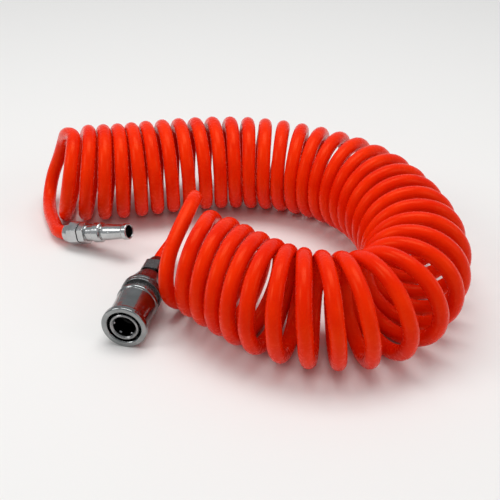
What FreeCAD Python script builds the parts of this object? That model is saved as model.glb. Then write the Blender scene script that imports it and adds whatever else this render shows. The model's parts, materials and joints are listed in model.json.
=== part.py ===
import FreeCAD, Part
import math
import os

# Coiled air hose: a polyurethane recoil hose with a quick socket on one end and its plug on the other.
# Millimetres. +Z is up and z = 0 is the surface that it lies on. The socket's axis runs along Y and its
# mouth faces -Y. Each coupling is drawn along its own axis, where w is the distance from its open end.

Vector = FreeCAD.Vector
UP = Vector(0, 0, 1)

# hose and coil
HOSE_R = 4.25
HOSE_BORE_R = 2.5
HOSE_HOLE_R = 4.3
COIL_R = 30.0

# where the couplings lie
SOCKET_MOUTH = Vector(28.2, -48.7, 12.5)
PLUG_NUT_END = Vector(-39, 43, 7.5)
PLUG_HEADING = -11.0
PLUG_RISE = 15.0

# middle line of the coil, and of the hose from each end of the coil to its nut; the socket's end
# opens out into one last loose turn that arches back and down to the nut
COIL_ROUTE = [
    (-50, 77), (-25.7, 82.8), (13.4, 102.6), (54.8, 118.6), (99.1, 118.2), (139.6, 97.6),
    (164.5, 61.2), (177.5, 17.5), (165, -29), (117, -39.5), (77.5, -16.5), (61.6, -5.1),
]
SOCKET_TAIL = [
    (61.3, -4.5, 54), (60.9, 10.6, 50.7), (61.9, 21.2, 41.4), (61.8, 25.2, 29), (60.5, 22.1, 16.4),
    (58.1, 12.6, 7.5), (54.6, 0, 4.3), (50.4, -9.5, 5), (46.5, -17.5, 10.5), (44.5, -22.5, 19.5),
    (43.7, -20, 30.5), (44, -11.5, 39.5), (46.2, 0.5, 46), (48, 10.5, 50.5), (49, 19.5, 53.5),
    (48.2, 28.5, 51.5), (45, 36, 45.5), (40.5, 40, 35.5), (36.5, 39.5, 24.5), (32, 33.5, 15.5),
]
PLUG_TAIL = [
    (-50, 77, 55), (-53.5, 88, 53), (-60, 96, 43), (-65, 98.5, 31), (-68, 96.5, 18),
    (-68.5, 89, 7.7), (-65, 78.5, 4.3), (-59.5, 67.5, 4.3), (-52.5, 56.5, 4.5),
]
HOSE_STRAIGHT = 6.0

# socket body
BORE_R = 6.2
NOSE_BORE_R = 5.1
NOSE_BORE_START = 12.0
BODY_R = 7.9
BODY_FRONT = 0.4
BODY_BACK = 36.7
GUIDE_R = 9.75
GUIDE_START = 23.5
ADAPTER_START = 29.8
BODY_THREAD_R = 9.0
SEAL_START = 23.8
SEAL_WIDTH = 3.0
SEAL_R = 7.2
CHAMBER_R = 7.0
CHAMBER_START = 27.6
STOP_RING_START = 10.0
STOP_RING_WIDTH = 0.8
STOP_RING_SEAT_R = 7.2
STOP_RING_R = 9.0
STOP_RING_GAP = 4.0

# locking balls
BALL_COUNT = 6
BALL_R = 1.5
BALL_W = 4.2
BALL_CIRCLE_R = 6.9

# release sleeve
SLEEVE_LENGTH = 25.0
FLANGE_R = 12.5
BARREL_R = 11.2
LAND_R = 8.56
WEB_BORE_R = 8.0
WEB_START = 11.0
WEB_BACK = 12.6
SPRING_SPACE_R = 9.85

# springs: middle radius, wire radius, coils
SLEEVE_SPRING = (8.95, 0.45, 5.0)
VALVE_SPRING = (6.15, 0.35, 5.0)
SPRING_STEPS = 16

# socket adapter, valve and nut
CHAMBER_BACK = 44.0
ADAPTER_COLLAR_R = 11.6
ADAPTER_THREAD_END = 56.2
THREAD_R = 5.0
STEM_PASSAGE_R = 1.9
POPPET_FACE = 26.9
POPPET_DISC_START = 27.8
POPPET_DISC_BACK = 29.4
POPPET_BACK = 34.5
POPPET_PORTS = 4
SOCKET_NUT_START = 48.4
SOCKET_NUT_HEX_LENGTH = 8.6
SOCKET_NUT_FLATS = 14.0
SOCKET_LENGTH = 63.5

# plug, w counted from the tip of its nose
PLUG_LENGTH = 46.4
PLUG_BORE_R = 3.8
NOSE_R = 5.0
PLUG_COLLAR_R = 6.1
PLUG_COLLAR_START = 18.9
PLUG_COLLAR_BACK = 24.4
PLUG_THREAD_R = 4.7
PLUG_THREAD_END = 40.2
PLUG_HEX_START = 30.0
PLUG_HEX_BACK = 34.2
PLUG_HEX_FLATS = 12.5
PLUG_NUT_START = 34.8
PLUG_NUT_HEX_LENGTH = 7.0
PLUG_NUT_FLATS = 13.0
PLUG_MARK_ANGLE = -72.0


def on_axis(w):
    return Vector(0, 0, w)


def cylinder(radius, start, end):
    return Part.makeCylinder(radius, end - start, on_axis(start))


def tube(outer_radius, inner_radius, start, end):
    return cylinder(outer_radius, start, end).cut(cylinder(inner_radius, start, end))


def turned(profile):
    """A solid of revolution about the coupling's axis, from its half section as (radius, w) points."""
    points = [Vector(radius, 0, w) for radius, w in profile]
    section = Part.Face(Part.makePolygon(points + points[:1]))
    return section.revolve(Vector(0, 0, 0), UP, 360)


def around(shape, count):
    """Copies of a shape, evenly spaced about the coupling's axis."""
    copies = []
    for index in range(count):
        copy = shape.copy()
        copy.rotate(Vector(0, 0, 0), UP, 360 * index / count)
        copies.append(copy)
    return copies


def hexagon_bar(across_flats, start, end, end_chamfer=0.6):
    """A hexagonal bar whose corners are turned down at both ends."""
    corner = across_flats / math.sqrt(3)
    points = []
    for step in range(7):
        angle = math.radians(60 * step)
        points.append(Vector(corner * math.cos(angle), corner * math.sin(angle), start))
    bar = Part.Face(Part.makePolygon(points)).extrude(on_axis(end - start))
    low = corner - end_chamfer
    envelope = turned([
        (0, start), (low, start), (corner, start + 0.5 * end_chamfer),
        (corner, end - 0.5 * end_chamfer), (low, end), (0, end),
    ])
    return bar.common(envelope)


def rounded_path(points):
    """Straight runs joined by tangent arcs, each as large as its two runs allow."""
    edges = []
    radii = []
    start = points[0]
    for before, corner, after in zip(points, points[1:], points[2:]):
        arriving = (corner - before).normalize()
        leaving = (after - corner).normalize()
        turn = arriving.getAngle(leaving)
        reach = 0.45 * min(before.distanceToPoint(corner), corner.distanceToPoint(after))
        radius = reach / math.tan(turn / 2)
        radii.append(radius)
        arc_start = corner - arriving * reach
        arc_end = corner + leaving * reach
        inward = (leaving - arriving).normalize()
        middle = corner + inward * (radius / math.cos(turn / 2) - radius)
        edges.append(Part.LineSegment(start, arc_start).toShape())
        edges.append(Part.Arc(arc_start, middle, arc_end).toShape())
        start = arc_end
    edges.append(Part.LineSegment(start, points[-1]).toShape())
    return Part.Wire(edges), radii


def swept(name, points, radius):
    """A round bar along a route. It prints the bend radii and how true the bar's volume is."""
    path, radii = rounded_path(points)
    first_run = points[1] - points[0]
    section = Part.Wire(Part.makeCircle(radius, points[0], first_run))
    bar = path.makePipeShell([section], True, False)
    expected = math.pi * radius ** 2 * path.Length
    print(name, "length", round(path.Length, 1), "least radius", round(min(radii), 1),
          "volume ratio", round(bar.Volume / expected, 4))
    return bar


def compression_spring(spring, start, end):
    """A round-wire spring standing between two faces at w = start and w = end."""
    middle_radius, wire_radius, coils = spring
    clear = 0.1
    low = start + wire_radius + clear
    rise = end - start - 2 * (wire_radius + clear)
    steps = round(coils * SPRING_STEPS)
    points = []
    for index in range(steps + 1):
        angle = 2 * math.pi * index / SPRING_STEPS
        points.append(Vector(middle_radius * math.cos(angle), middle_radius * math.sin(angle),
                             low + rise * index / steps))
    return swept("spring", points, wire_radius)


def along_y(shape):
    """Turn a coupling drawn along its own axis so that w runs along +Y from the socket's mouth."""
    placed = shape.copy()
    placed.Placement = FreeCAD.Placement(SOCKET_MOUTH, FreeCAD.Rotation(Vector(1, 0, 0), -90))
    return placed


def plug_direction():
    """The way that the plug's nose points."""
    rise = math.radians(PLUG_RISE)
    heading = math.radians(PLUG_HEADING)
    level = math.cos(rise)
    return Vector(level * math.cos(heading), level * math.sin(heading), math.sin(rise))


def along_plug(shape):
    """Put a shape drawn along the plug's own axis, w counted from the nose's tip, where the plug lies."""
    placed = shape.copy()
    tip = PLUG_NUT_END + plug_direction() * PLUG_LENGTH
    placed.Placement = FreeCAD.Placement(tip, FreeCAD.Rotation(UP, plug_direction() * -1))
    return placed


def make_socket_body():
    """Steel body: bore, ball pockets, seal groove and valve chamber, with the adapter's thread behind."""
    seal_back = SEAL_START + SEAL_WIDTH
    body = turned([
        (6.9, BODY_FRONT), (BODY_R - 0.3, BODY_FRONT), (BODY_R, BODY_FRONT + 0.3),
        (BODY_R, STOP_RING_START), (STOP_RING_SEAT_R, STOP_RING_START),
        (STOP_RING_SEAT_R, STOP_RING_START + STOP_RING_WIDTH), (BODY_R, STOP_RING_START + STOP_RING_WIDTH),
        (BODY_R, GUIDE_START), (GUIDE_R, GUIDE_START), (GUIDE_R, ADAPTER_START),
        (BODY_THREAD_R, ADAPTER_START), (BODY_THREAD_R, BODY_BACK), (CHAMBER_R, BODY_BACK),
        (CHAMBER_R, CHAMBER_START), (5.8, CHAMBER_START), (5.8, seal_back),
        (SEAL_R, seal_back), (SEAL_R, SEAL_START), (NOSE_BORE_R, SEAL_START),
        (NOSE_BORE_R, NOSE_BORE_START + 0.6), (BORE_R - 0.4, NOSE_BORE_START),
        (BORE_R, NOSE_BORE_START), (BORE_R, BODY_FRONT + 0.7),
    ])
    pocket = Part.makeCone(1.36, 1.64, 1.0, Vector(6.0, 0, BALL_W), Vector(1, 0, 0))
    pocket = pocket.fuse(Part.makeCylinder(1.64, 1.5, Vector(7.0, 0, BALL_W), Vector(1, 0, 0)))
    return body.cut(Part.makeCompound(around(pocket, BALL_COUNT)))


def make_release_sleeve():
    """Waisted sleeve: front flange, ramp and land over the balls, ring recess, web and spring space."""
    return turned([
        (10.0, 0), (FLANGE_R - 0.5, 0), (FLANGE_R, 0.5), (FLANGE_R, 3.0), (FLANGE_R - 0.5, 3.5),
        (BARREL_R + 0.2, 4.0), (BARREL_R, 5.0), (BARREL_R - 0.25, 14.0), (BARREL_R, 22.6),
        (BARREL_R + 0.5, 23.4), (BARREL_R + 0.5, 24.5), (BARREL_R, SLEEVE_LENGTH),
        (SPRING_SPACE_R, SLEEVE_LENGTH), (SPRING_SPACE_R, WEB_BACK), (WEB_BORE_R, WEB_BACK),
        (WEB_BORE_R, WEB_START), (9.3, WEB_START), (9.3, 5.8), (LAND_R, 5.8), (LAND_R, 4.35), (9.42, 0.5),
    ])


def make_stop_ring():
    """Split ring in the body's groove, which stops the sleeve at its front position."""
    start = STOP_RING_START
    end = start + STOP_RING_WIDTH
    ring = tube(STOP_RING_R, STOP_RING_SEAT_R, start, end)
    slot = Part.makeBox(STOP_RING_R, STOP_RING_GAP, STOP_RING_WIDTH, Vector(0, -STOP_RING_GAP / 2, start))
    return ring.cut(slot)


def make_ball(index):
    """One locking ball, standing part way into the bore."""
    angle = math.radians(360 * index / BALL_COUNT)
    middle = Vector(BALL_CIRCLE_R * math.cos(angle), BALL_CIRCLE_R * math.sin(angle), BALL_W)
    return Part.makeSphere(BALL_R, middle)


def make_nose_seal():
    """Rubber packing that grips the plug's nose and that the valve closes against."""
    end = SEAL_START + SEAL_WIDTH
    return turned([
        (SEAL_R, SEAL_START), (SEAL_R, end), (4.6, end), (4.35, end - 0.8),
        (4.35, SEAL_START + 1.6), (5.3, SEAL_START + 0.5), (5.3, SEAL_START),
    ])


def make_valve_poppet():
    """Brass valve: closed face, disc and a ported skirt that air passes through."""
    poppet = turned([
        (0, POPPET_FACE + 0.5), (2.5, POPPET_FACE + 0.5), (4.2, POPPET_FACE), (5.5, POPPET_FACE),
        (5.5, POPPET_DISC_START), (6.6, POPPET_DISC_START), (6.6, POPPET_DISC_BACK),
        (5.2, POPPET_DISC_BACK), (5.2, POPPET_BACK), (3.8, POPPET_BACK), (3.8, POPPET_DISC_BACK),
        (0, POPPET_DISC_BACK),
    ])
    port_w = (POPPET_DISC_BACK + POPPET_BACK) / 2
    port = Part.makeCylinder(1.4, 4.0, Vector(2.6, 0, port_w), Vector(1, 0, 0))
    return poppet.cut(Part.makeCompound(around(port, POPPET_PORTS)))


def make_adapter_gasket():
    """Flat ring that seals the body's end in the adapter."""
    return tube(BODY_THREAD_R - 0.1, CHAMBER_R + 0.2, BODY_BACK, BODY_BACK + 0.8)


def make_socket_adapter():
    """Collar and cone screwed on behind the body, with the nut's thread and the stem for the hose."""
    socket_back = BODY_BACK + 0.8
    stem_end = SOCKET_LENGTH - 0.3
    return turned([
        (BODY_THREAD_R, ADAPTER_START), (ADAPTER_COLLAR_R - 0.4, ADAPTER_START),
        (ADAPTER_COLLAR_R, ADAPTER_START + 0.4), (ADAPTER_COLLAR_R, ADAPTER_START + 4.2),
        (ADAPTER_COLLAR_R - 0.5, ADAPTER_START + 4.8), (7.8, 45.5), (7.4, 46.4),
        (5.6, 46.6), (5.6, 48.2), (THREAD_R, 48.2), (THREAD_R, ADAPTER_THREAD_END),
        (HOSE_BORE_R, ADAPTER_THREAD_END), (HOSE_BORE_R, stem_end - 0.4), (HOSE_BORE_R - 0.3, stem_end),
        (STEM_PASSAGE_R, stem_end), (STEM_PASSAGE_R, CHAMBER_BACK), (CHAMBER_R, CHAMBER_BACK),
        (CHAMBER_R, socket_back), (BODY_THREAD_R, socket_back),
    ])


def make_nut(start, hex_length, end, across_flats, thread_radius, thread_end):
    """Hose nut: hexagon, then a coned shoulder that closes on the hose."""
    hex_end = start + hex_length
    cone_r = across_flats / 2
    nut = hexagon_bar(across_flats, start, hex_end).fuse(turned([
        (0, hex_end - 0.5), (cone_r, hex_end - 0.5), (cone_r, hex_end), (cone_r - 0.3, hex_end + 1.2),
        (5.5, end - 0.6), (5.0, end), (0, end),
    ]))
    hole = cylinder(thread_radius, start, thread_end).fuse(cylinder(HOSE_HOLE_R, thread_end, end))
    return nut.cut(hole).removeSplitter()


def make_socket_nut():
    return make_nut(SOCKET_NUT_START, SOCKET_NUT_HEX_LENGTH, SOCKET_LENGTH, SOCKET_NUT_FLATS,
                    THREAD_R, ADAPTER_THREAD_END)


def make_plug_nut():
    return make_nut(PLUG_NUT_START, PLUG_NUT_HEX_LENGTH, PLUG_LENGTH, PLUG_NUT_FLATS,
                    PLUG_THREAD_R, PLUG_THREAD_END)


def make_plug_body():
    """Plug: tip ring, tapering nose, locking collar and groove, hexagon, thread and stem."""
    start = PLUG_COLLAR_START
    back = PLUG_COLLAR_BACK
    stem_end = PLUG_LENGTH - 0.3
    plug = turned([
        (PLUG_BORE_R + 0.3, 0), (4.6, 0), (4.95, 0.35), (4.95, 3.1), (4.3, 4.0),
        (NOSE_R, start - 3.4), (NOSE_R, start - 1.4), (4.4, start - 1.1), (4.4, start), (5.3, start),
        (PLUG_COLLAR_R, start + 0.8), (PLUG_COLLAR_R, back - 0.5), (PLUG_COLLAR_R - 0.5, back),
        (5.1, back), (5.1, PLUG_HEX_START), (PLUG_THREAD_R, PLUG_HEX_START),
        (PLUG_THREAD_R, PLUG_THREAD_END), (HOSE_BORE_R, PLUG_THREAD_END), (HOSE_BORE_R, stem_end - 0.4),
        (HOSE_BORE_R - 0.3, stem_end), (STEM_PASSAGE_R, stem_end), (STEM_PASSAGE_R, start + 0.6),
        (PLUG_BORE_R, start - 1.3), (PLUG_BORE_R, 0.3),
    ])
    hexagon = hexagon_bar(PLUG_HEX_FLATS, PLUG_HEX_START, PLUG_HEX_BACK)
    hexagon = hexagon.cut(cylinder(PLUG_THREAD_R, PLUG_HEX_START, PLUG_HEX_BACK))
    mark = Part.makeCylinder(0.8, 1.0, Vector(4.3, 0, 12.5), Vector(1, 0, 0))
    mark.rotate(Vector(0, 0, 0), UP, PLUG_MARK_ANGLE)
    return plug.fuse(hexagon).cut(mark).removeSplitter()


def tail(name, route, nut_end, seat, stem):
    """Hose from one end of the coil into its nut, bored over the stem."""
    points = [Vector(*point) for point in route]
    inward = (seat - nut_end).normalize()
    points.append(nut_end - inward * HOSE_STRAIGHT)
    points.append(seat)
    return swept(name, points, HOSE_R).cut(stem)


def make_socket_tail():
    nut_end = SOCKET_MOUTH + Vector(0, SOCKET_LENGTH, 0)
    seat = SOCKET_MOUTH + Vector(0, ADAPTER_THREAD_END, 0)
    stem = along_y(cylinder(HOSE_BORE_R, ADAPTER_THREAD_END, SOCKET_LENGTH))
    return tail("socket tail", SOCKET_TAIL, nut_end, seat, stem)


def make_plug_tail():
    seat = PLUG_NUT_END + plug_direction() * (PLUG_LENGTH - PLUG_THREAD_END)
    stem = along_plug(cylinder(HOSE_BORE_R, PLUG_THREAD_END, PLUG_LENGTH))
    return tail("plug tail", PLUG_TAIL, PLUG_NUT_END, seat, stem)


def make_coil():
    """Outer shape of the whole coil: one fat bar that lies on the surface."""
    return swept("coil", [Vector(x, y, COIL_R) for x, y in COIL_ROUTE], COIL_R)


def make_parts():
    parts = {
        "socket_body": along_y(make_socket_body()),
        "release_sleeve": along_y(make_release_sleeve()),
        "sleeve_spring": along_y(compression_spring(SLEEVE_SPRING, WEB_BACK, GUIDE_START)),
        "sleeve_stop_ring": along_y(make_stop_ring()),
        "nose_seal": along_y(make_nose_seal()),
        "valve_poppet": along_y(make_valve_poppet()),
        "valve_spring": along_y(compression_spring(VALVE_SPRING, POPPET_DISC_BACK, CHAMBER_BACK)),
        "adapter_gasket": along_y(make_adapter_gasket()),
        "socket_adapter": along_y(make_socket_adapter()),
        "socket_nut": along_y(make_socket_nut()),
        "plug_body": along_plug(make_plug_body()),
        "plug_nut": along_plug(make_plug_nut()),
        "hose_coil": make_coil(),
        "hose_tail_socket": make_socket_tail(),
        "hose_tail_plug": make_plug_tail(),
    }
    for index in range(BALL_COUNT):
        parts["locking_ball_%d" % (index + 1)] = along_y(make_ball(index))
    return parts


os.makedirs("parts", exist_ok=True)
for node, shape in make_parts().items():
    shape.exportStep("parts/%s.step" % node)
    print(node, "valid", shape.isValid(), "solids", len(shape.Solids), "volume", round(shape.Volume, 1))
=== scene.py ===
import json
import math

import bpy
from mathutils import Matrix, Vector


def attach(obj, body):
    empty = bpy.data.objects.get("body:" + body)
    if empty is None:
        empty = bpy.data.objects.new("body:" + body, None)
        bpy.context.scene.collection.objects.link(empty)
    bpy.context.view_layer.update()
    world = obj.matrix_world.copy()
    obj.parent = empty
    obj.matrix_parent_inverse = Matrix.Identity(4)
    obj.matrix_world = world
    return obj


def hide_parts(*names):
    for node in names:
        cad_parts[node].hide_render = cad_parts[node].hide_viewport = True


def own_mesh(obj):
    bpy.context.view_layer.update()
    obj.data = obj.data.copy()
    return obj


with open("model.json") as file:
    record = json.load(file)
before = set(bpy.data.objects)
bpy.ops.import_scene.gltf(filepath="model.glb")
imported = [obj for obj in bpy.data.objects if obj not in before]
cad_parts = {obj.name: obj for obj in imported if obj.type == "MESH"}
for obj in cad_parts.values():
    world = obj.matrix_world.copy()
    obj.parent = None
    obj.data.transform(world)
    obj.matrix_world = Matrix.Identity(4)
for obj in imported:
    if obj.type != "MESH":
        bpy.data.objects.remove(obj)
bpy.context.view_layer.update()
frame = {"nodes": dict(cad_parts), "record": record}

# Coiled air hose. Places along the hose are in metres; the couplings are drawn in millimetres, each along
# its own axis, where w is the distance from its open end.

MM = 0.001
UP = Vector((0, 0, 1))

# the camera stands where the photographer stood
CAMERA_PLACE = (0.1789, -0.4383, 0.3229)
CAMERA_HEADING = 12.0
CAMERA_DOWN = 32.41
CAMERA_LENS = 70.56
CAMERA_SENSOR = 36.0
CAMERA_REACH = 20.0

# the lights all look at one place; each has a place, a size and a power
LIGHT_AIM = Vector((0.07, 0.03, 0.02))
LIGHTS = [
    ("overhead", (0.05, 0.15, 1.1), (0.9, 0.6), 7.6),
    ("left", (-0.9, -0.5, 0.9), (0.5, 0.5), 4.0),
    ("right", (1.1, -0.2, 0.6), (0.4, 0.6), 1.5),
]
WORLD_COLOR = (0.95, 0.97, 1.0, 1)
WORLD_STRENGTH = 0.42
FLOOR_HALF = 6.0
FLOOR_COLOR = (0.84, 0.83, 0.81, 1)

# where the couplings lie
SOCKET_MOUTH = Vector((0.0282, -0.0487, 0.0125))
SOCKET_LENGTH = 63.5
PLUG_NUT_END = Vector((-0.0390, 0.0430, 0.0075))
PLUG_HEADING = math.radians(-11.0)
PLUG_RISE = math.radians(15.0)
PLUG_LENGTH = 46.4

# the middle line of the coil, and of the hose from each end of the coil to its nut
HOSE_DIAMETER = 0.0085
HOSE_STRAIGHT = 0.006
HOSE_INTO_PLUG = 0.006
HOSE_INTO_SOCKET = 0.007
COIL_ROUTE = [
    (-0.0500, 0.0770), (-0.0257, 0.0828), (0.0134, 0.1026), (0.0548, 0.1186), (0.0991, 0.1182),
    (0.1396, 0.0976), (0.1645, 0.0612), (0.1775, 0.0175), (0.1650, -0.0290), (0.1170, -0.0395),
    (0.0775, -0.0165), (0.0596, -0.0037),
]
SOCKET_TAIL = [
    (0.0609, 0.0106, 0.0507), (0.0619, 0.0212, 0.0414), (0.0618, 0.0252, 0.0290), (0.0605, 0.0221, 0.0164),
    (0.0581, 0.0126, 0.0075), (0.0546, 0.0000, 0.0043), (0.0504, -0.0095, 0.0050), (0.0465, -0.0175, 0.0105),
    (0.0445, -0.0225, 0.0195), (0.0437, -0.0200, 0.0305), (0.0440, -0.0115, 0.0395), (0.0462, 0.0005, 0.0460),
    (0.0480, 0.0105, 0.0505), (0.0490, 0.0195, 0.0535), (0.0482, 0.0285, 0.0515), (0.0450, 0.0360, 0.0455),
    (0.0405, 0.0400, 0.0355), (0.0365, 0.0395, 0.0245), (0.0320, 0.0335, 0.0155),
]
PLUG_TAIL = [
    (-0.0520, 0.0880, 0.0530), (-0.0575, 0.0970, 0.0440), (-0.0625, 0.0985, 0.0310),
    (-0.0680, 0.0965, 0.0180), (-0.0685, 0.0890, 0.0077), (-0.0650, 0.0785, 0.0043),
    (-0.0595, 0.0675, 0.0043), (-0.0525, 0.0565, 0.0045),
]

# how the turns lie, at even steps along the coil from the plug's end, in millimetres
TURNS = 37
POINTS_PER_TURN = 16
TURN_SPACING = [11.0, 10.0, 10.6, 10.5, 11.9, 13.3, 14.5, 14.5, 13.4, 12.0, 11.0, 11.8]
TURN_LEAN = [7.5, 0.8, 1.0, 1.4, 0.5, -0.9, 0.0, 1.2, -1.6, -3.2]
TURN_YAW = [1.5, -2.5, -0.3, 2.6, 0.6, -1.8, -1.8, 2.4, 7.3, 11.4]
TURN_RADIUS = [26.2, 25.8, 24.7, 25.1, 26.0, 26.4, 25.2]

# how finely curves are drawn: steps between control points, and bevel resolution round the section
ROUTE_STEPS = 24
HOSE_STEPS = 6
HOSE_ROUND = 6
WIRE_STEPS = 3
WIRE_ROUND = 3

# lathe work
LATHE_STEPS = 144
ROUND_STEPS = 3
ROUND_SHARE = 0.4
SHARP_ANGLE = math.radians(32)
HEX_CHAMFER = 0.6
HEX_BLUNT = 0.12
HEX_LEAST_TURN_DOWN = 0.03

# the plug's tapering nose from (radius, w) to (radius, w), and the small punch mark in it
NOSE_START = (4.3, 4.0)
NOSE_END = (5.0, 15.5)
PLUG_MARK_ANGLE = math.radians(-72.0)
PLUG_MARK_W = 12.5
PLUG_MARK_RADIUS = 0.8
PLUG_MARK_DEPTH = 0.45
PLUG_MARK_STEP = 0.2
PLUG_MARK_STEPS = 5

# the hose nuts; w runs from the coupling's open end, and the hole is a little wider than the hose
NUT_CLEARANCE = 0.05
SOCKET_NUT = {
    "across_flats": 14.0, "start": 48.4, "hexagon_end": 57.0, "end": SOCKET_LENGTH, "thread_radius": 5.0,
    "thread_end": 56.2,
}
PLUG_NUT = {
    "across_flats": 13.0, "start": 34.8, "hexagon_end": 41.8, "end": PLUG_LENGTH, "thread_radius": 4.7,
    "thread_end": 40.2,
}

# the springs, each between two faces of the socket, and how far their joints move
SPRING_GAP = 0.1
SLEEVE_TRAVEL = 4.0
VALVE_TRAVEL = 5.0
RETURN_SPRING = {"middle_radius": 8.95, "wire_radius": 0.45, "coils": 5, "start": 12.6, "end": 23.5}
CHECK_SPRING = {"middle_radius": 6.15, "wire_radius": 0.35, "coils": 5, "start": 29.4, "end": 44.0}

# painted shade darkens the socket's bore from a little inside its mouth, and only within its wall; in metres
BORE_SHADE_FROM = 0.0008
BORE_SHADE_FULLY_FROM = 0.0030
BORE_SHADE_WITHIN = 0.0078
BORE_SHADE_FULLY_WITHIN = 0.0074
BORE_SHADE_COLOR = (0.02, 0.019, 0.018, 1)

# how turning marks are drawn out round a piece, and how plain ones are
TURNED = (1, 6, 1)
EVEN = (1, 1, 1)


def link(name, data):
    thing = bpy.data.objects.new(name, data)
    bpy.context.scene.collection.objects.link(thing)
    return thing


# ---- camera, floor and light ----

def make_camera():
    camera = link("camera", bpy.data.cameras.new("camera"))
    camera.data.lens = CAMERA_LENS
    camera.data.sensor_width = CAMERA_SENSOR
    camera.data.clip_end = CAMERA_REACH
    camera.location = CAMERA_PLACE
    camera.rotation_euler = (math.radians(90 - CAMERA_DOWN), 0, math.radians(CAMERA_HEADING))
    bpy.context.scene.camera = camera


def make_floor():
    half = FLOOR_HALF
    corners = [(-half, -half, 0), (half, -half, 0), (half, half, 0), (-half, half, 0)]
    mesh = bpy.data.meshes.new("floor")
    mesh.from_pydata(corners, [], [(0, 1, 2, 3)])
    floor = link("floor", mesh)
    material, shader = new_material("floor")
    shader.inputs["Base Color"].default_value = FLOOR_COLOR
    shader.inputs["Roughness"].default_value = 0.7
    mesh.materials.append(material)


def area_light(name, place, size, power):
    lamp = bpy.data.lights.new(name, "AREA")
    lamp.shape = "RECTANGLE"
    lamp.size, lamp.size_y = size
    lamp.energy = power
    thing = link(name, lamp)
    thing.location = place
    thing.rotation_euler = (LIGHT_AIM - Vector(place)).to_track_quat("-Z", "Y").to_euler()


def make_lights():
    for name, place, size, power in LIGHTS:
        area_light(name, place, size, power)
    world = bpy.data.worlds.new("world")
    bpy.context.scene.world = world
    world.use_nodes = True
    background = world.node_tree.nodes["Background"]
    background.inputs["Color"].default_value = WORLD_COLOR
    background.inputs["Strength"].default_value = WORLD_STRENGTH
    bpy.context.scene.view_settings.view_transform = "Standard"


# ---- materials ----

def new_material(name):
    material = bpy.data.materials.new(name)
    material.use_nodes = True
    return material, material.node_tree.nodes["Principled BSDF"]


def noise(tree, scale, detail, stretch=EVEN):
    """Noise in the object's own space; scale is how many cells it has in a metre."""
    place = tree.nodes.new("ShaderNodeTexCoord")
    mapping = tree.nodes.new("ShaderNodeMapping")
    mapping.inputs["Scale"].default_value = stretch
    texture = tree.nodes.new("ShaderNodeTexNoise")
    texture.inputs["Scale"].default_value = scale
    texture.inputs["Detail"].default_value = detail
    tree.links.new(place.outputs["Object"], mapping.inputs["Vector"])
    tree.links.new(mapping.outputs["Vector"], texture.inputs["Vector"])
    return texture.outputs["Fac"]


def ramp(tree, value, low, high, start=0.35, end=0.65):
    """Colours from low to high as value goes from start to end."""
    node = tree.nodes.new("ShaderNodeValToRGB")
    node.color_ramp.elements[0].position = start
    node.color_ramp.elements[0].color = (*low, 1)
    node.color_ramp.elements[1].position = end
    node.color_ramp.elements[1].color = (*high, 1)
    tree.links.new(value, node.inputs["Fac"])
    return node.outputs["Color"]


def mapped(tree, value, start, end, low=0.0, high=1.0):
    """A number from low to high as value goes from start to end."""
    node = tree.nodes.new("ShaderNodeMapRange")
    node.inputs["From Min"].default_value = start
    node.inputs["From Max"].default_value = end
    node.inputs["To Min"].default_value = low
    node.inputs["To Max"].default_value = high
    tree.links.new(value, node.inputs["Value"])
    return node.outputs["Result"]


def between(tree, value, low, high):
    """A number from low to high over the middle of a noise."""
    return mapped(tree, value, 0.3, 0.7, low, high)


def times(tree, first, second):
    node = tree.nodes.new("ShaderNodeMath")
    node.operation = "MULTIPLY"
    tree.links.new(first, node.inputs[0])
    tree.links.new(second, node.inputs[1])
    return node.outputs["Value"]


def mixed(tree, share, color, other):
    """A linked colour that turns into a plain one as share goes from 0 to 1."""
    node = tree.nodes.new("ShaderNodeMix")
    node.data_type = "RGBA"
    node.inputs["B"].default_value = other
    tree.links.new(share, node.inputs["Factor"])
    tree.links.new(color, node.inputs["A"])
    return node.outputs["Result"]


def bump(tree, shader, value, depth, strength):
    node = tree.nodes.new("ShaderNodeBump")
    node.inputs["Strength"].default_value = strength
    node.inputs["Distance"].default_value = depth
    tree.links.new(value, node.inputs["Height"])
    tree.links.new(node.outputs["Normal"], shader.inputs["Normal"])


def worn_edges(tree, value):
    """1 on raised edges and 0 on flat and hollow places, broken up by value."""
    geometry = tree.nodes.new("ShaderNodeNewGeometry")
    edges = mapped(tree, geometry.outputs["Pointiness"], 0.50, 0.62)
    return times(tree, edges, value)


def hose_material():
    """Glossy, slightly translucent polyurethane: faint clouding, fine grain and dull scuffs."""
    material, shader = new_material("hose")
    tree = material.node_tree
    clouds = noise(tree, 45, 3)
    grain = noise(tree, 260, 2)
    scuffs = noise(tree, 420, 5)
    color = ramp(tree, clouds, (0.80, 0.015, 0.0008), (0.89, 0.028, 0.0012))
    tree.links.new(color, shader.inputs["Base Color"])
    tree.links.new(between(tree, scuffs, 0.22, 0.30), shader.inputs["Roughness"])
    bump(tree, shader, grain, 0.00002, 0.15)
    shader.inputs["IOR"].default_value = 1.4
    shader.inputs["Specular IOR Level"].default_value = 0.28
    shader.inputs["Specular Tint"].default_value = (1.0, 0.45, 0.12, 1)
    shader.inputs["Subsurface Weight"].default_value = 0.10
    shader.inputs["Subsurface Radius"].default_value = (1.0, 0.12, 0.03)
    shader.inputs["Subsurface Scale"].default_value = 0.003
    return material


def metal_material(name, color, dull, roughness, scratches=EVEN):
    """Turned or plated metal: fine marks, patchy dulling and brighter worn edges."""
    material, shader = new_material(name)
    tree = material.node_tree
    patches = noise(tree, 160, 4)
    marks = noise(tree, 1500, 3, scratches)
    bright = (*[min(1.0, 1.25 * part) for part in color], 1)
    base = mixed(tree, worn_edges(tree, patches), ramp(tree, patches, dull, color), bright)
    tree.links.new(base, shader.inputs["Base Color"])
    tree.links.new(between(tree, marks, roughness * 0.75, roughness * 1.5), shader.inputs["Roughness"])
    bump(tree, shader, marks, 0.00002, 0.25)
    shader.inputs["Metallic"].default_value = 1.0
    return material


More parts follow.
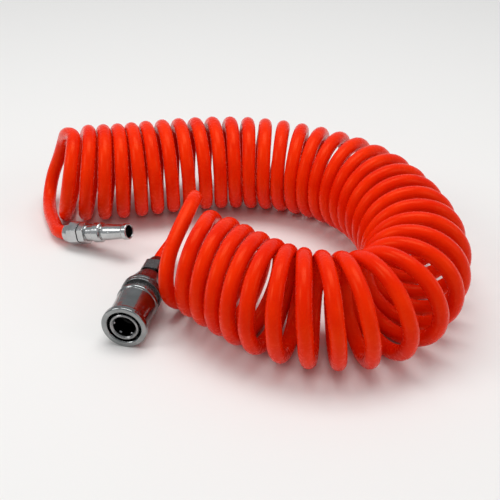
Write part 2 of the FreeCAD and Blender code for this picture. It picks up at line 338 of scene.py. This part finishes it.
def bored_material():
    """Nickel plate outside and at the mouth, which turns to near-black painted shade inside the bore."""
    material = metal_material("bored_steel", (0.30, 0.30, 0.30), (0.22, 0.22, 0.22), 0.25)
    tree = material.node_tree
    shader = tree.nodes["Principled BSDF"]
    plated = shader.inputs["Base Color"].links[0].from_socket
    place = tree.nodes.new("ShaderNodeTexCoord").outputs["Object"]
    parts = tree.nodes.new("ShaderNodeSeparateXYZ")
    tree.links.new(place, parts.inputs["Vector"])
    mouth = SOCKET_MOUTH.y
    deep = mapped(tree, parts.outputs["Y"], mouth + BORE_SHADE_FROM, mouth + BORE_SHADE_FULLY_FROM)
    flat = tree.nodes.new("ShaderNodeVectorMath")
    flat.operation = "MULTIPLY"
    flat.inputs[1].default_value = (1, 0, 1)
    tree.links.new(place, flat.inputs[0])
    off_axis = tree.nodes.new("ShaderNodeVectorMath")
    off_axis.operation = "DISTANCE"
    off_axis.inputs[1].default_value = (SOCKET_MOUTH.x, 0, SOCKET_MOUTH.z)
    tree.links.new(flat.outputs["Vector"], off_axis.inputs[0])
    inside = mapped(tree, off_axis.outputs["Value"], BORE_SHADE_WITHIN, BORE_SHADE_FULLY_WITHIN)
    # painted shade: the plated colour is mixed to near-black deep past the mouth and within the wall
    base = mixed(tree, times(tree, deep, inside), plated, BORE_SHADE_COLOR)
    tree.links.new(base, shader.inputs["Base Color"])
    return material


def rubber_material():
    """Matt black rubber with a fine grain and a little dust."""
    material, shader = new_material("black_rubber")
    tree = material.node_tree
    dust = noise(tree, 300, 5)
    grain = noise(tree, 4000, 2)
    color = ramp(tree, dust, (0.012, 0.012, 0.012), (0.035, 0.034, 0.032))
    tree.links.new(color, shader.inputs["Base Color"])
    tree.links.new(between(tree, dust, 0.55, 0.75), shader.inputs["Roughness"])
    bump(tree, shader, grain, 0.00005, 0.4)
    return material


# ---- hose ----

def nurbs(name, points, resolution):
    """A smooth curve with the given points as its control points."""
    curve = bpy.data.curves.new(name, "CURVE")
    curve.dimensions = "3D"
    curve.resolution_u = resolution
    spline = curve.splines.new("NURBS")
    spline.points.add(len(points) - 1)
    for control, point in zip(spline.points, points):
        control.co = (*point, 1.0)
    spline.order_u = 3
    spline.use_endpoint_u = True
    return curve


def points_along(route):
    """Points read from the smooth curve through a route's control points."""
    thing = link("route", nurbs("route", route, ROUTE_STEPS))
    mesh = bpy.data.meshes.new_from_object(thing)
    points = [vertex.co.copy() for vertex in mesh.vertices]
    bpy.data.objects.remove(thing)
    bpy.data.meshes.remove(mesh)
    return points


def length_of(points):
    return sum((after - before).length for before, after in zip(points, points[1:]))


def at(values, share):
    """The value at a share from 0 to 1 along evenly spaced values."""
    place = min(max(share, 0.0), 1.0) * (len(values) - 1)
    index = min(int(place), len(values) - 2)
    return values[index] + (values[index + 1] - values[index]) * (place - index)


def coil_points():
    """The turns of the coil round its middle line, resting on the floor, from the plug's end."""
    axis = points_along([(x, y, 0.0) for x, y in COIL_ROUTE])
    total = length_of(axis)
    travelled = [0.0]
    turned = [0.0]
    for before, after in zip(axis, axis[1:]):
        step = (after - before).length
        turned.append(turned[-1] + step / at(TURN_SPACING, (travelled[-1] + step / 2) / total))
        travelled.append(travelled[-1] + step)
    stretch = TURNS / turned[-1]
    # the smooth curve runs a little inside its control points, so they stand a little further out
    outward = 1 / math.cos(math.pi / POINTS_PER_TURN)
    points = []
    index = 0
    for count in range(TURNS * POINTS_PER_TURN + 1):
        turn = count / POINTS_PER_TURN
        while index < len(axis) - 2 and turned[index + 1] * stretch < turn:
            index += 1
        part = (turn - turned[index] * stretch) / ((turned[index + 1] - turned[index]) * stretch)
        middle = axis[index].lerp(axis[index + 1], part)
        along = (axis[index + 1] - axis[index]).normalized()
        side = along.cross(UP)
        share = (travelled[index] + part * (travelled[index + 1] - travelled[index])) / total
        angle = 2 * math.pi * turn
        radius = at(TURN_RADIUS, share) * MM
        lie = (at(TURN_LEAN, share) * math.cos(angle) + at(TURN_YAW, share) * math.sin(angle)) * MM
        height = radius + HOSE_DIAMETER / 2
        across = radius * outward
        points.append(middle + UP * (height + across * math.cos(angle)) + side * (across * math.sin(angle))
                      + along * lie)
    return points


def plug_direction():
    """The way that the plug's nose points."""
    level = math.cos(PLUG_RISE)
    return Vector((level * math.cos(PLUG_HEADING), level * math.sin(PLUG_HEADING), math.sin(PLUG_RISE)))


def hose_points():
    """The whole hose, from inside the plug's nut to inside the socket's."""
    into_plug = plug_direction()
    socket_end = SOCKET_MOUTH + Vector((0, SOCKET_LENGTH * MM, 0))
    into_socket = Vector((0, -1, 0))
    start = [PLUG_NUT_END + into_plug * HOSE_INTO_PLUG, PLUG_NUT_END - into_plug * HOSE_STRAIGHT]
    end = [socket_end - into_socket * HOSE_STRAIGHT, socket_end + into_socket * HOSE_INTO_SOCKET]
    plug_tail = [Vector(point) for point in reversed(PLUG_TAIL)]
    socket_tail = [Vector(point) for point in SOCKET_TAIL]
    return start + plug_tail + coil_points() + socket_tail + end


def make_hose(with_pieces):
    points = hose_points()
    curve = nurbs("air_hose", points, HOSE_STEPS)
    curve.bevel_depth = HOSE_DIAMETER / 2
    curve.bevel_resolution = HOSE_ROUND
    curve.materials.append(hose_material())
    hose = link("air_hose", curve)
    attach(hose, "socket")
    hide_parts("hose_coil", "hose_tail_socket", "hose_tail_plug")
    length = length_of(points_along(points))


# ---- couplings ----

def rounded(corners, radius):
    """A closed outline with its corners rounded off."""
    points = []
    for index, corner in enumerate(corners):
        here = Vector(corner)
        back = Vector(corners[index - 1]) - here
        forth = Vector(corners[(index + 1) % len(corners)]) - here
        reach = min(radius, ROUND_SHARE * back.length, ROUND_SHARE * forth.length)
        start = here + back.normalized() * reach
        end = here + forth.normalized() * reach
        for step in range(ROUND_STEPS + 1):
            share = step / ROUND_STEPS
            points.append(start.lerp(here, share).lerp(here.lerp(end, share), share))
    return points


def hexagon_radius(across_flats, angle):
    """How far the hexagon's side is from the axis at an angle; its corners are very slightly blunt."""
    apothem = across_flats / 2
    side = apothem / math.cos(angle % math.radians(60) - math.radians(30))
    return min(side, apothem / math.cos(math.radians(30)) - HEX_BLUNT)


def hexagon_corners(across_flats, start, end, angle):
    """The part of a half section that goes over a hexagon, from start to end, with its corners turned down."""
    low = across_flats / math.sqrt(3) - HEX_CHAMFER
    side = hexagon_radius(across_flats, angle)
    edge = min(low, side - HEX_LEAST_TURN_DOWN)
    depth = 0.5 * (side - edge)
    return [(edge, start), (side, start + depth), (side, end - depth), (edge, end)]


def lathe(name, section, edge, place, body, node, material):
    """A piece turned about its axis; section(angle) gives its closed half section as (radius, w) corners."""
    vertices = []
    for step in range(LATHE_STEPS):
        angle = 2 * math.pi * step / LATHE_STEPS
        outline = rounded(section(angle), edge)
        for radius, w in outline:
            point = Vector((radius * math.cos(angle), radius * math.sin(angle), w)) * MM
            vertices.append(place @ point)
    count = len(outline)
    faces = []
    for step in range(LATHE_STEPS):
        here = step * count
        there = (step + 1) % LATHE_STEPS * count
        for index in range(count):
            after = (index + 1) % count
            faces.append((here + index, there + index, there + after, here + after))
    mesh = bpy.data.meshes.new(name)
    mesh.from_pydata(vertices, [], faces)
    mesh.validate()
    mesh.shade_smooth()
    mesh.set_sharp_from_angle(angle=SHARP_ANGLE)
    mesh.materials.append(material)
    thing = link(name, mesh)
    normals = thing.modifiers.new("normals", "WEIGHTED_NORMAL")
    normals.keep_sharp = True
    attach(thing, body)
    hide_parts(node)
    return thing


def sleeve_section(angle):
    return [
        (10.0, 0), (12.0, 0), (12.5, 0.5), (12.5, 3.0), (12.0, 3.6), (11.5, 4.0), (11.2, 5.2), (10.98, 9.0),
        (10.92, 13.0), (10.98, 17.0), (11.15, 21.4), (10.85, 21.7), (10.85, 22.3), (11.3, 22.6), (11.7, 23.2),
        (11.7, 24.5), (11.2, 25.0), (9.85, 25.0), (9.85, 12.6), (8.0, 12.6), (8.0, 11.0), (9.3, 11.0),
        (9.3, 5.8), (8.56, 5.8), (8.56, 4.35), (9.42, 0.5),
    ]


def adapter_section(angle):
    return [
        (9.0, 29.8), (11.2, 29.8), (11.6, 30.2), (11.6, 31.7), (11.25, 32.05), (11.6, 32.4), (11.6, 34.0),
        (11.1, 34.6), (9.5, 39.6), (7.8, 45.5), (7.4, 46.4), (5.6, 46.6), (5.6, 48.2), (5.0, 48.2),
        (5.0, 56.2), (2.5, 56.2), (2.5, 62.8), (2.2, 63.2), (1.9, 63.2), (1.9, 44.0), (7.0, 44.0),
        (7.0, 37.5), (9.0, 37.5),
    ]


def nut_section(across_flats, start, hexagon_end, end, thread_radius, thread_end):
    """Section of a hose nut: hexagon, then a coned shoulder that closes on the hose."""
    cone = across_flats / 2
    hole = HOSE_DIAMETER / MM / 2 + NUT_CLEARANCE

    def section(angle):
        return [(thread_radius, start)] + hexagon_corners(across_flats, start, hexagon_end, angle) + [
            (cone - 0.35, hexagon_end + 0.1), (cone - 0.5, hexagon_end + 1.4), (5.5, end - 0.7), (5.0, end),
            (hole, end), (hole, thread_end), (thread_radius, thread_end),
        ]
    return section


def marked_nose(angle):
    """The stretch of the plug's tapering nose that has the small punch mark in it."""
    turn = (angle - PLUG_MARK_ANGLE + math.pi) % (2 * math.pi) - math.pi
    taper = (NOSE_END[0] - NOSE_START[0]) / (NOSE_END[1] - NOSE_START[1])
    corners = []
    for step in range(-PLUG_MARK_STEPS, PLUG_MARK_STEPS + 1):
        w = PLUG_MARK_W + PLUG_MARK_STEP * step
        radius = NOSE_START[0] + taper * (w - NOSE_START[1])
        away = math.hypot(turn * radius, w - PLUG_MARK_W) / PLUG_MARK_RADIUS
        corners.append((radius - PLUG_MARK_DEPTH * max(0.0, 1 - away ** 2), w))
    return corners


def plug_section(angle):
    return [
        (4.1, 0), (4.6, 0), (4.95, 0.35), (4.95, 3.1), NOSE_START,
    ] + marked_nose(angle) + [
        NOSE_END, (5.0, 17.5), (4.4, 17.8), (4.4, 18.9), (5.3, 18.9), (6.1, 19.7), (6.1, 23.9), (5.6, 24.4),
        (5.1, 24.4), (5.1, 30.0),
    ] + hexagon_corners(12.5, 30.0, 34.2, angle) + [
        (4.7, 34.2), (4.7, 40.2), (2.5, 40.2), (2.5, 45.7), (2.2, 46.1), (1.9, 46.1), (1.9, 19.5),
        (3.8, 17.6), (3.8, 0.3),
    ]


def socket_place():
    """From the socket's own space to the frame: its axis runs along +Y from the mouth."""
    return Matrix.Translation(SOCKET_MOUTH) @ Matrix.Rotation(math.radians(-90), 4, "X")


def plug_place():
    """From the plug's own space to the frame: its axis runs from the nose's tip back to the nut."""
    tip = PLUG_NUT_END + plug_direction() * PLUG_LENGTH * MM
    turn = UP.rotation_difference(-plug_direction()).to_matrix().to_4x4()
    return Matrix.Translation(tip) @ turn


def make_spring(name, node, joint, travel, material, middle_radius, wire_radius, coils, start, end):
    """A compression spring between two faces in the socket, drawn at one length; its joint and travel are not
    used.
    """
    low = start + wire_radius + SPRING_GAP
    rise = end - start - 2 * (wire_radius + SPRING_GAP)
    steps = coils * POINTS_PER_TURN
    reach = middle_radius / math.cos(math.pi / POINTS_PER_TURN)
    place = socket_place()
    points = []
    for index in range(steps + 1):
        angle = 2 * math.pi * index / POINTS_PER_TURN
        point = Vector((reach * math.cos(angle), reach * math.sin(angle), low + rise * index / steps))
        points.append(place @ (point * MM))
    curve = nurbs(name, points, WIRE_STEPS)
    curve.bevel_depth = wire_radius * MM
    curve.bevel_resolution = WIRE_ROUND
    curve.use_fill_caps = True
    drawn = link("wire", curve)
    mesh = bpy.data.meshes.new_from_object(drawn)
    bpy.data.objects.remove(drawn)
    mesh.materials.clear()
    mesh.materials.append(material)
    mesh.shade_smooth()
    spring = link(name, mesh)
    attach(spring, "socket")
    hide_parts(node)
    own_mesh(spring)


def make_couplings(chrome, plug_chrome, nickel):
    """The pieces in view, made finer than the solids that they stand for. It returns the plug's two."""
    socket = socket_place()
    plug = plug_place()
    lathe("sleeve", sleeve_section, 0.28, socket, "sleeve", "release_sleeve", chrome)
    lathe("adapter", adapter_section, 0.22, socket, "socket", "socket_adapter", nickel)
    lathe("hose_nut_socket", nut_section(**SOCKET_NUT), 0.2, socket, "socket", "socket_nut",
          nickel)
    body = lathe("plug", plug_section, 0.2, plug, "socket", "plug_body", plug_chrome)
    nut = lathe("hose_nut_plug", nut_section(**PLUG_NUT), 0.2, plug, "socket", "plug_nut",
                plug_chrome)
    return [body, nut]


def finish_hidden_nodes(finishes):
    """The CAD nodes that stay get the procedural finish of their material slot."""
    for part in frame["record"]["subparts"]:
        node = frame["nodes"][part["node"]]
        if part["material_slot"] in finishes:
            node.data.materials.clear()
            node.data.materials.append(finishes[part["material_slot"]])


chrome = metal_material("chromed_sleeve", (0.31, 0.32, 0.32), (0.25, 0.26, 0.26), 0.16, TURNED)
plug_chrome = metal_material("chromed_plug", (0.55, 0.56, 0.56), (0.45, 0.46, 0.46), 0.17)
nickel = metal_material("nickel_steel", (0.20, 0.20, 0.20), (0.14, 0.14, 0.14), 0.22, TURNED)
ball_steel = metal_material("ball_steel", (0.35, 0.35, 0.36), (0.28, 0.28, 0.29), 0.12)
# painted shade: the springs sit inside the dark bore, so their steel is made very dark
spring_steel = metal_material("spring_steel", (0.10, 0.10, 0.10), (0.06, 0.06, 0.06), 0.30)
# painted shade: the brass poppet sits inside the dark bore, so its brass is made near-black
brass = metal_material("brass", (0.05, 0.038, 0.018), (0.03, 0.022, 0.010), 0.40)

make_camera()
make_spring("return_spring", "sleeve_spring", "sleeve_slide", SLEEVE_TRAVEL, spring_steel, **RETURN_SPRING)
make_spring("check_spring", "valve_spring", "valve_slide", VALVE_TRAVEL, spring_steel, **CHECK_SPRING)
make_hose(make_couplings(chrome, plug_chrome, nickel))
finish_hidden_nodes({
    "nickel_steel": nickel, "chromed_sleeve": chrome, "chromed_plug": plug_chrome, "ball_steel": ball_steel,
    "spring_steel": spring_steel, "brass": brass, "black_rubber": rubber_material(),
})
frame["nodes"]["socket_body"].data.materials[0] = bored_material()
make_floor()
make_lights()
